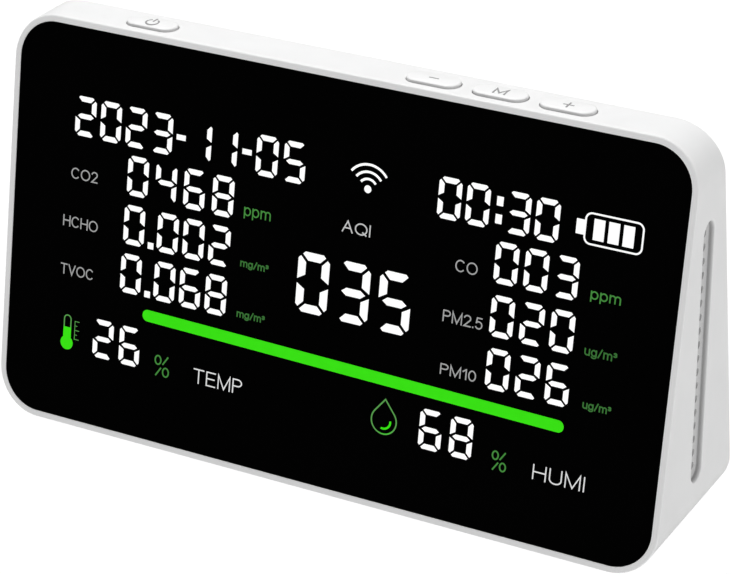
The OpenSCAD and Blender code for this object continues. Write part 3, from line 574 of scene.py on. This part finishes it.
def shell_rings():
    lens = (CASE_W - 2 * RIM, FRONT_LEN - 2 * RIM, LENS_R, FRONT_LEN / 2)
    lip = 0.1
    rings = [front_ring(*WINDOW, 0.5, WINDOW_S, FRONT_WALL), front_ring(*WINDOW, 0.5, WINDOW_S, LENS_RECESS),
             front_ring(*lens, LENS_RECESS)]
    for grow, depth in reversed(rounding(lip, 3)):
        w, h, r, s = lens
        rings.append(front_ring(w + 2 * grow, h + 2 * grow, r + grow, s, depth))
    rings += [case_ring(inset, front_y, depth) for inset, depth in rounding(EDGE_R, 6)]
    rings += [case_ring(inset, back_y, depth) for inset, depth in reversed(rounding(EDGE_R, 6))]
    rings += [case_ring(COVER_RIM - inset, back_y, depth) for inset, depth in rounding(lip, 3)]
    rings += [case_ring(COVER_RIM, back_y, COVER_T), case_ring(SIDE_WALL, back_y, COVER_T, WALL),
              case_ring(SIDE_WALL, front_y, FRONT_WALL, WALL)]
    return rings


def slot_frame(side, up=0.0, depth=0.0):
    """On the side wall, with +Y along the air slot, up millimetres from its middle."""
    along = Vector((0, math.sin(SLOT_LEAN), math.cos(SLOT_LEAN)))
    middle = Vector((side * (CASE_W / 2 - depth), (front_y(SLOT_Z) + back_y(SLOT_Z)) / 2, SLOT_Z))
    return facing(middle + up * along, Vector((side, 0, 0)), along)


def key_frame(key, z):
    low, high = node_box("key_" + key)
    return Matrix.Translation(((low.x + high.x) / 2, (low.y + high.y) / 2, z))


def shell_cuts():
    slots = [pit(slot_frame(side), SLOT_W, SLOT_LEN, SLOT_DEEP, SLOT_LIP, 0.2, steps=12) for side in (-1, 1)]
    back = Matrix.Translation((0, SLOT_HOLE_Y, 0))
    holes = [round_pit(back @ slot_frame(side, (i - (SLOT_HOLES - 1) / 2) * SLOT_PITCH, SLOT_DEEP),
                       SLOT_HOLE_D / 2, SIDE_WALL, 0.08, above=0.3)
             for side in (-1, 1) for i in range(SLOT_HOLES)]
    keys = [pit(key_frame(key, TOP), KEY_W + 2 * KEY_GAP, KEY_D + 2 * KEY_GAP, WALL + 0.5, 0.06)
            for key in KEYS]
    pockets = [solid(key_frame(key, TOP - WALL), KEY_W + 2 * FLANGE_OUT + 0.8, KEY_D + 0.6,
                     [(0, -FLANGE_T - 1.2), (0, 0)]) for key in KEYS]
    feet = [round_pit(facing(Vector((x, y, BASE)), -UP, TO_BACK), FOOT_R + 0.1, 1, 0.15, steps=12)
            for x, y in FOOT_AT]
    return slots + keys + feet, holes + pockets


def boss_frames():
    """Frame, radius and length of each screw post inside the case, from its screw end inwards."""
    posts = [(facing(on_back(x, t, COVER_T), -BACK_OUT), REAR_POST_R, REAR_POST_LEN) for x, t in REAR_SCREWS]
    posts += [(facing(on_front(x, s, DISPLAY_DEPTH), FRONT_OUT), DISPLAY_POST_R,
               DISPLAY_DEPTH - FRONT_WALL + SUNK) for x, s in DISPLAY_SCREWS]
    posts += [(Matrix.Translation((x, y, KEY_BOARD_TOP)), KEY_POST_R, TOP - KEY_BOARD_TOP - SUNK)
              for x, y in KEY_SCREWS]
    posts += [(facing(Vector((x, y, CHARGE_Z)), -UP, TO_BACK), CHARGE_POST_R, CHARGE_Z - BASE - SUNK)
              for x, y in CHARGE_SCREWS]
    posts += [(facing(Vector(at), Vector((1, 0, 0))), PIN_R, PIN_LEN) for at in PIN_AT]
    return posts


def screw_bore(at, post_r):
    """The blind hole in a post's end: M2 in the slim posts, and wider in the four at the rear."""
    r, deep = (M2_HOLE_R, M2_BORE_DEEP) if post_r < REAR_POST_R else (REAR_BORE_R, REAR_BORE_DEEP)
    return round_pit(at, r, deep, 0.15)


def turned_over(posts):
    """The same frames with +Z out of the post's screw end."""
    return [(at @ Matrix.Rotation(math.pi, 4, "X"), r, length) for at, r, length in posts]


def build_case():
    shell = make("case_shell", loft(shell_rings(), closed=True))
    core = loft([case_ring(0.5, front_y, 1.6), case_ring(0.5, back_y, COVER_T)])
    posts = make("posts", *[rod(at, r, 0, length) for at, r, length in boss_frames()])
    combine(posts, "INTERSECT", core)
    inside = posts.data
    points = [v.co.copy() for v in inside.vertices]
    faces = [tuple(f.vertices) for f in inside.polygons]
    bpy.data.objects.remove(posts)
    combine(shell, "UNION", (points, faces))
    for group in shell_cuts():
        combine(shell, "DIFFERENCE", *group)
    bores = [screw_bore(at, r) for at, r, length in turned_over(boss_frames()) if r > PIN_R]
    combine(shell, "DIFFERENCE", *bores)
    place(shell, white_abs, "white_shell", ["housing"])
    shade_slots(shell)


def shade_slots(shell):
    """Gives the walls, floor and holes of both air slots darker materials that paint shade into them."""
    for material in (slot_wall_painted_shade, slot_floor_painted_shade, slot_hole_painted_shade):
        shell.data.materials.append(material)
    near = 0.02                    # a face whose centre is this near a level lies on it
    for side in (-1, 1):
        into_slot = slot_frame(side).inverted()
        for face in shell.data.polygons:
            p = into_slot @ (face.center / MM)
            if abs(p.x) > SLOT_W / 2 + SLOT_LIP or abs(p.y) > SLOT_LEN / 2 + SLOT_LIP:
                continue
            if -SLOT_DEEP + near < p.z < -near:
                face.material_index = 1
            elif -SLOT_DEEP - near < p.z <= -SLOT_DEEP + near:
                face.material_index = 2
            elif -SIDE_WALL + near < p.z <= -SLOT_DEEP - near:
                face.material_index = 3


# ---- Rear panel --------------------------------------------------------------------------------

def back_frame(x, t, depth=0.0):
    return facing(on_back(x, t, depth), BACK_OUT)


def vent_places():
    """Each vent: where its centre is, and its height."""
    upper = [(x, 70, 9) for x in range(-58, 58, 5)]
    dust = [(25.5 + 4.5 * i, (DUST_T[0] + DUST_T[1]) / 2 + 1, 26) for i in range(7)]
    return upper + dust


def build_rear_panel():
    inset = COVER_RIM + FIT_GAP
    edge = 0.35
    rings = [case_ring(inset + 0.2, back_y, COVER_T), case_ring(inset, back_y, COVER_T - 0.2)]
    rings += [case_ring(inset + i, back_y, depth) for i, depth in reversed(rounding(edge))]
    panel = make("rear_panel", loft(rings))
    posts = [rod(facing(on_back(x, t, COVER_T - 0.5), -BACK_OUT), 2.6, 0, MAIN_DEPTH - COVER_T + 0.5)
             for x, t in MAIN_SCREWS]
    for x in (DUST_X[0] - 1.3, DUST_X[1] + 0.2):
        rib = facing(on_back(x + 0.55, 21, COVER_T - 0.5), -BACK_OUT)
        posts.append(solid(rib, 1.1, 26, [(0, 0), (0, 4.8), (-0.2, 5)], r=0.21, steps=2))
    combine(panel, "UNION", *posts)
    vents = [pit(back_frame(x, t), 2, tall, COVER_T + 1, 0.25) for x, t, tall in vent_places()]
    step = 2.4                     # between the holes over the sounder
    sound = [round_pit(back_frame(SOUNDER[0] + step * i, SOUNDER[1] + step * j), 0.65, COVER_T + 1, 0.12,
                       steps=5) for i in range(-2, 3) for j in range(-2, 3) if abs(i) + abs(j) < 4]
    heads = [round_pit(back_frame(x, t), SCREW_RECESS_R, 1, 0.2) for x, t in REAR_SCREWS]
    mouth = facing(Vector((USB_X, USB_MOUTH + 0.05, USB_Z)), TO_BACK)
    outer = solid(mouth, USB_W + 4, USB_H + 4, [(-0.3, 0), (0, 0.3), (0, 4)])
    combine(panel, "DIFFERENCE", *vents, *sound, *heads, outer)
    shanks = [rod(back_frame(x, t), 1.45, -COVER_T - 1, 0) for x, t in REAR_SCREWS]
    threads = [rod(facing(on_back(x, t, MAIN_DEPTH), -BACK_OUT), M2_HOLE_R, -3.3, 1) for x, t in MAIN_SCREWS]
    inner = solid(mouth, USB_W + 0.7, USB_H + 0.7, [(0, -5), (0, -0.25), (0.25, 0), (0.25, 1)])
    combine(panel, "DIFFERENCE", *shanks, *threads, inner)
    place(panel, white_abs, "white_shell", ["rear_cover"])


def build_rear_screws():
    out = 2.3 - SCREW_R            # how far a head stands out round its shank
    pitch, turns = 0.45, 12        # of the thread's grooves
    crown = ((-2.2, 0), (-1.2, 0.03), (-0.5, 0.14), (-0.12, 0.35), (0, 0.6))
    levels = [(out + g, 0.9 - z) for g, z in crown] + [(out, 0.05), (out - 0.05, 0), (-0.05, 0)]
    for i in range(turns):
        levels += [(-0.05, -1.0 - pitch * i), (-0.24, -1.22 - pitch * i)]
    levels += [(-0.5, -6.8), (-1.0, -7)]
    screws = [solid(back_frame(x, t, 1), 2 * SCREW_R, 2 * SCREW_R, levels) for x, t in REAR_SCREWS]
    heads = make("rear_screw_set", *screws)
    for angle in (0, 90):
        turn = Matrix.Rotation(math.radians(angle), 4, "Z")
        cross = [solid(back_frame(x, t) @ turn, 2.5, 0.5, [(-0.12, -0.75), (0.06, 0.1)], r=0.18, steps=2)
                 for x, t in REAR_SCREWS]
        combine(heads, "DIFFERENCE", *cross)
    place(heads, dark_steel, "dark_screw", ["rear_screws"])


def build_feet():
    feet = []
    for x, y in FOOT_AT:
        at = Matrix.Translation((x, y, 0))
        levels = [(-2.4, 0.12), (-2.2, 0)] + [(-i, z) for i, z in rounding(0.3)] + [(0, 1.4), (-0.1, 1.5)]
        feet.append(solid(at, 2 * FOOT_R, 2 * FOOT_R, levels, steps=12))
    place(make("foot_pads", *feet), black_rubber, "feet_rubber", ["rubber_feet"])


# ---- Keys --------------------------------------------------------------------------------------

MARK_RISE = 0.02               # how far a mark's top stands above the cap
CROWN = 0.12                   # how far the cap's middle stands above its edge


def key_mark(key, at):
    """The printed symbol on a key, as solids with their top on the key's highest point."""
    width = 0.36
    lines = {"minus": [[(-0.9, 0), (0.9, 0)]],
             "plus": [[(-1, 0), (-width, 0)], [(width, 0), (1, 0)], [(0, -1), (0, 1)]],
             "mode": [[(-1.2, -1.05), (-1.2, 1.0), (0, -0.8), (1.2, 1.0), (1.2, -1.05)]],
             "power": [arc(0, -0.1, 1.35, 1.35, 90 + 36, 90 + 324), [(0, 0.35), (0, 1.75)]]}
    return [stroke(at, line, width, -0.2, 0.0) for line in lines[key]]


def build_keys():
    flange_z = TOP - WALL - FLANGE_T - FIT_GAP
    top = KEY_TOP - MARK_RISE
    levels = [(0, flange_z)]
    levels += [(-i, top - CROWN - depth) for i, depth in reversed(rounding(KEY_R, 7))]
    levels += [(-i, top - CROWN * share) for i, share in ((1.3, 0.35), (1.9, 0.08), (2.4, 0))]
    for key in KEYS:
        cap = make(key + "_key_cap", solid(key_frame(key, 0), KEY_W, KEY_D, levels, steps=12))
        flange = solid(key_frame(key, flange_z), KEY_W + 2 * FLANGE_OUT, KEY_D - 0.4,
                       [(-0.15, 0), (0, 0.15), (0, FLANGE_T - 0.15), (-0.15, FLANGE_T)])
        stem_z = node_box("key_" + key)[0].z
        post = rod(key_frame(key, 0), POST_D / 2, stem_z, flange_z + SUNK, 0.1)
        combine(cap, "UNION", flange)
        combine(cap, "UNION", post)
        place(cap, key_abs, "white_keys", ["key_" + key], key + "_key")
        cap.data.materials.append(key_side_painted_shade)
        # faces that stand more upright than level take the darker grey: painted shade on the key's sides
        for face in cap.data.polygons:
            face.material_index = int(abs(face.normal.z) < 0.5)
        mark = make(key + "_key_mark", *key_mark(key, key_frame(key, KEY_TOP) @ Matrix.Translation(MARK_AT)))
        place(mark, mark_grey, "white_keys", body=key + "_key")


# ---- Charging socket ---------------------------------------------------------------------------

def build_socket():
    at = facing(Vector((USB_X, USB_MOUTH, USB_Z)), TO_BACK)
    length, metal_t = USB_MOUTH - socket_low.y, 0.3
    levels = [(0, -length), (0, -0.12), (-0.06, -0.02), (-0.15, 0), (-0.24, -0.02), (-metal_t, -0.12),
              (-metal_t, -length + 1)]
    rings = [[at @ Vector((x, y, z)) for x, y in outline(USB_W + 2 * g, USB_H + 2 * g, USB_H / 2 + g, FINE)]
             for g, z in levels]
    place(make("socket_shell", loft(rings)), bright_steel, "steel", ["usb_socket"])
    tongue = solid(at, 6.7, 0.7, [(0, -length + 0.8), (0, -0.75), (-0.12, -0.6)], r=0.3, steps=3)
    place(make("socket_tongue", tongue), black_plastic, "black_plastic")
    pads = []
    for face in (-1, 1):
        for i in range(12):
            pad = at @ Matrix.Translation(((i - 5.5) * 0.5, face * 0.355, -2.4))
            pads.append(solid(pad, 0.28, 0.05, [(0, -1.8), (0, 1.2)], r=0.02, steps=1))
    place(make("socket_contacts", *pads), gold_plate, "gold_plated")


# ---- Display lettering -------------------------------------------------------------------------

# Each letter's width and its strokes' centre lines, where a capital is 1 high
GLYPHS = {
    "A": (0.72, [[(0, 0), (0.36, 1), (0.72, 0)], [(0.17, 0.36), (0.55, 0.36)]]),
    "C": (0.74, [arc(0.38, 0.5, 0.38, 0.5, 46, 314)]),
    "E": (0.56, [[(0.56, 1), (0, 1), (0, 0), (0.56, 0)], [(0.05, 0.52), (0.5, 0.52)]]),
    "H": (0.66, [[(0, 0), (0, 1)], [(0.66, 0), (0.66, 1)], [(0.05, 0.52), (0.61, 0.52)]]),
    "I": (0, [[(0, 0), (0, 1)]]),
    "M": (0.76, [[(0, 0), (0, 1), (0.38, 0.02), (0.76, 1), (0.76, 0)]]),
    "O": (0.84, [arc(0.42, 0.5, 0.42, 0.5)]),
    "P": (0.56, [[(0, 0), (0, 1)], [(0.05, 1), *arc(0.3, 0.75, 0.26, 0.25, 90, -90), (0.05, 0.5)]]),
    "Q": (0.84, [arc(0.42, 0.5, 0.42, 0.5), [(0.55, 0.22), (0.8, 0)]]),
    "T": (0.64, [[(0, 1), (0.64, 1)], [(0.32, 0), (0.32, 0.95)]]),
    "U": (0.62, [[(0, 1), *arc(0.31, 0.3, 0.31, 0.3, 180, 360), (0.62, 1)]]),
    "V": (0.68, [[(0, 1), (0.34, 0), (0.68, 1)]]),
    "0": (0.52, [arc(0.26, 0.5, 0.26, 0.5)]),
    "1": (0.24, [[(0, 0.76), (0.2, 0.96)], [(0.24, 0), (0.24, 1)]]),
    "2": (0.54, [[*arc(0.27, 0.73, 0.26, 0.27, 165, -38), (0.02, 0), (0.54, 0)]]),
    "5": (0.52, [[(0.48, 1), (0.1, 1), (0.05, 0.55)], arc(0.25, 0.33, 0.27, 0.33, 138, -145)]),
    ".": (0, [[(0, 0), (0, 0.03)]]),
    "p": (0.5, [[(0, -0.28), (0, 0.74)], arc(0.25, 0.37, 0.25, 0.37)]),
    "m": (0.78, [[(0, 0), (0, 0.74)], [*arc(0.2, 0.5, 0.19, 0.24, 165, 0), (0.39, 0)],
                 [*arc(0.59, 0.5, 0.19, 0.24, 165, 0), (0.78, 0)]]),
    "g": (0.48, [arc(0.24, 0.38, 0.24, 0.36), [(0.48, 0.74), *arc(0.24, -0.04, 0.24, 0.22, 0, -150)]]),
    "u": (0.44, [[(0, 0.74), *arc(0.22, 0.24, 0.22, 0.24, 180, 345)], [(0.44, 0), (0.44, 0.74)]]),
    "/": (0.34, [[(0, -0.02), (0.34, 1.02)]]),
    "³": (0.26, [arc(0.13, 0.87, 0.12, 0.11, 150, -75), arc(0.13, 0.65, 0.13, 0.12, 75, -150)])}
LETTER_GAP = 0.22
LABEL_STROKE, UNIT_STROKE, PERCENT_STROKE = 0.27, 0.28, 0.32
PRINT_T = 0.02                 # how far the lettering lies above the lens
ON_LENS = facing(on_front(0, 0, LENS_DROP), FRONT_OUT)


def drawn(name, letters, width):
    """Letters as lists of centre lines in the lens's plane, made into one mesh of flat bars."""
    bars = [[stroke(ON_LENS, line, width, 0, PRINT_T) for line in lines] for lines in letters]
    obj = make(name, *[letter[0] for letter in bars])
    for i in range(1, max(len(letter) for letter in bars)):
        combine(obj, "UNION", *[letter[i] for letter in bars if len(letter) > i])
    return obj


def label(name, text, left, right, low, high, width):
    """Thin lettering that fills a box on the lens: left..right across, low..high up the slope."""
    letters, x = [], 0.0
    for letter in text:
        advance, lines = GLYPHS[letter]
        letters.append([[(x + px, y) for px, y in line] for line in lines])
        x += advance + LETTER_GAP
    points = [p for lines in letters for line in lines for p in line]
    x_low, y_low = (min(p[i] for p in points) for i in (0, 1))
    x_scale, y_scale = ((size - width) / (max(p[i] for p in points) - min(p[i] for p in points))
                        for i, size in enumerate((right - left, high - low)))
    fitted = [[[(left + width / 2 + (px - x_low) * x_scale, low + width / 2 + (y - y_low) * y_scale)
                for px, y in line] for line in lines] for lines in letters]
    return drawn(name, fitted, width)


def percent(name, x, s, size=1.0):
    """A split percent sign: a ring and half a slash above, and the same turned round below."""
    lines = []
    for turn in (size, -size):
        lines.append([(x + turn * (px - 1), s + turn * (py + 1.2)) for px, py in arc(0, 0, 0.7, 0.95)])
        lines.append([(x + turn * 0.25, s + turn * 0.5), (x + turn * 1.35, s + turn * 2.15)])
    return drawn(name, [[line] for line in lines], PERCENT_STROKE)


def build_labels():
    """The names of what is measured, and the units: left, right, low and high edge of each on the lens."""
    names = [("co2", "CO2", -62.0, -55.4, 54.65, 57.05, label_white),
             ("hcho", "HCHO", -63.4, -54.7, 44.05, 46.45, label_white),
             ("tvoc", "TVOC", -63.4, -55.3, 33.45, 35.8, label_white),
             ("aqi", "AQI", 2.95, 9.4, 56.45, 58.95, label_fair),
             ("co", "CO", 28.7, 33.6, 53.65, 56.15, label_white),
             ("pm25", "PM2.5", 27.0, 35.8, 42.9, 45.35, label_white),
             ("pm10", "PM10", 27.5, 35.5, 31.95, 34.25, label_white),
             ("temp", "TEMP", -29.1, -17.3, 16.8, 20.0, label_bright),
             ("humi", "HUMI", 49.7, 61.0, 15.1, 18.3, label_bright)]
    units = [("co2", "ppm", -19.8, -13.5, 54.5, 56.95, unit_green),
             ("co", "ppm", 57.9, 64.3, 53.75, 56.0, unit_green),
             ("hcho", "mg/m³", -19.8, -13.1, 43.9, 45.85, unit_green_dim),
             ("tvoc", "mg/m³", -19.8, -13.1, 33.0, 34.95, unit_green_dim),
             ("pm25", "ug/m³", 57.9, 64.8, 42.5, 44.8, unit_green_dim),
             ("pm10", "ug/m³", 58.7, 64.8, 31.75, 33.8, unit_green_dim)]
    for rows, kind, slot, width in ((names, "label_", "lit_white", LABEL_STROKE),
                                    (units, "unit_", "lit_green", UNIT_STROKE)):
        for name, text, *box, material in rows:
            place(label(kind + name, text, *box, width), material, slot)
    place(percent("unit_temp", -36.9, 18.55), unit_green, "lit_green")
    place(percent("unit_humi", 42.25, 16.95, 0.9), unit_green, "lit_green")


# ---- Nodes that keep their CAD shape -----------------------------------------------------------

KEPT = {
    "front_lens": black_acrylic, "digit_windows": lit_white, "white_icon_windows": lit_white,
    "level_bar_window": lit_green, "green_icon_windows": icon_green, "lens_tape": foam_grey,
    "light_box": reflector_white, "display_board": board_green, "display_leds": led_body,
    "display_ribbon": flat_cable, "key_ribbon": flat_cable, "ribbon_sockets": ivory_plastic,
    "key_board": board_green, "tact_switches": black_plastic, "board_screws": bright_steel,
    "main_board": board_green, "main_chips": black_plastic, "main_connectors": ivory_plastic,
    "controller_module": shield_tin, "sounder": black_plastic, "co2_sensor": gold_plate,
    "co_sensor": bright_steel, "hcho_sensor": bright_steel, "tvoc_sensor": shield_tin,
    "climate_board": board_green, "climate_sensor": black_plastic, "charge_board": board_green,
    "battery_cell": cell_wrap, "battery_holder": black_plastic, "battery_contacts": gold_plate,
    "battery_leads": lead_red, "dust_case": dust_shell, "dust_lid": dust_shell,
    "dust_fan": black_plastic, "dust_laser": gold_plate, "dust_board": board_green,
    "dust_seal": foam_grey, "dust_cable": ivory_plastic, "slot_mesh_left": gauze,
    "slot_mesh_right": gauze, "stem_power": red_plastic, "stem_minus": red_plastic,
    "stem_mode": red_plastic, "stem_plus": red_plastic}


def dress_nodes():
    for name, material in KEPT.items():
        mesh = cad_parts[name].data
        mesh.materials.clear()
        mesh.materials.append(material)


# ---- Floor, light and camera -------------------------------------------------------------------

def build_floor():
    """A wide pale floor that glows faintly, like a light table, so that shadows stay soft."""
    reach, under = 20000, 0.01
    corners = ((-reach, -reach), (reach, -reach), (reach, reach), (-reach, reach))
    floor = make("floor", loft([[(x, y, z) for x, y in corners] for z in (-10, -under)]))
    floor.data.transform(Matrix.Scale(MM, 4))
    pale = moulded("pale_floor", grey(0.06), 0.004, (0.8, 0.9), patch=60.0, bump=0.0,
                   Emission_Color=(1, 1, 1, 1), Emission_Strength=0.97)
    floor.data.materials.append(pale)
    floor.visible_glossy = False


def build_light():
    """Soft light from all round, white behind the case, and a large lamp above and a little behind it.
    Reflections see a dark room with a bright ceiling."""
    world = bpy.data.worlds.new("studio")
    bpy.context.scene.world = world
    world.use_nodes = True
    world.node_tree.nodes.clear()
    height = node(world, "SeparateXYZ", Vector=node(world, "TexCoord").outputs["Generated"]).outputs["Z"]
    ceiling = ramp(world, height, 0.01, 0.8, 0.35, 0.75)
    path = node(world, "LightPath").outputs
    white = (1, 1, 1, 1)
    light = node(world, "Background", Color=white, Strength=0.44).outputs[0]
    for ray, strength in (("Is Glossy Ray", ceiling), ("Is Camera Ray", 1.0)):
        seen = node(world, "Background", Color=white, Strength=strength).outputs[0]
        mix = node(world, "MixShader", Fac=path[ray])
        feed(world, mix, {1: light, 2: seen})
        light = mix.outputs[0]
    node(world, "OutputWorld", Surface=light)
    add_area("overhead", (-0.75, 0.45, 2.1), 1.3, 39)
    add_area("right_fill", (1.1, 0.06, 0.3), 0.3, 1.7)


def add_area(name, location, size, energy):
    """A square soft light that looks at the middle of the case."""
    data = bpy.data.lights.new(name, "AREA")
    data.size = size
    data.energy = energy
    lamp = bpy.data.objects.new(name, data)
    bpy.context.scene.collection.objects.link(lamp)
    lamp.location = location
    aim = Vector((0, 0, MID_Z * MM)) - Vector(location)
    lamp.rotation_mode = "QUATERNION"
    lamp.rotation_quaternion = aim.to_track_quat("-Z", "Y")


CAMERA_AT = Vector((264.29, -471.77, 308.90))
CAMERA_ANGLES = (28.967, 26.559, -0.586)    # azimuth, elevation and roll, in degrees
FOCAL_LENGTH = 144.54                       # on a 36 mm wide sensor


def build_camera():
    data = bpy.data.cameras.new("camera")
    data.lens = FOCAL_LENGTH
    data.sensor_width = 36
    data.clip_start, data.clip_end = 0.05, 20
    camera = bpy.data.objects.new("camera", data)
    bpy.context.scene.collection.objects.link(camera)
    azimuth, elevation, roll = (math.radians(a) for a in CAMERA_ANGLES)
    turn = Matrix.Rotation(azimuth, 4, "Z") @ Matrix.Rotation(math.pi / 2 - elevation, 4, "X")
    camera.matrix_world = Matrix.Translation(CAMERA_AT * MM) @ turn @ Matrix.Rotation(roll, 4, "Z")
    bpy.context.scene.camera = camera


bpy.context.scene.view_settings.view_transform = "Standard"
build_camera()
build_case()
build_rear_panel()
build_rear_screws()
build_feet()
build_keys()
build_socket()
build_labels()
dress_nodes()
build_floor()
build_light()
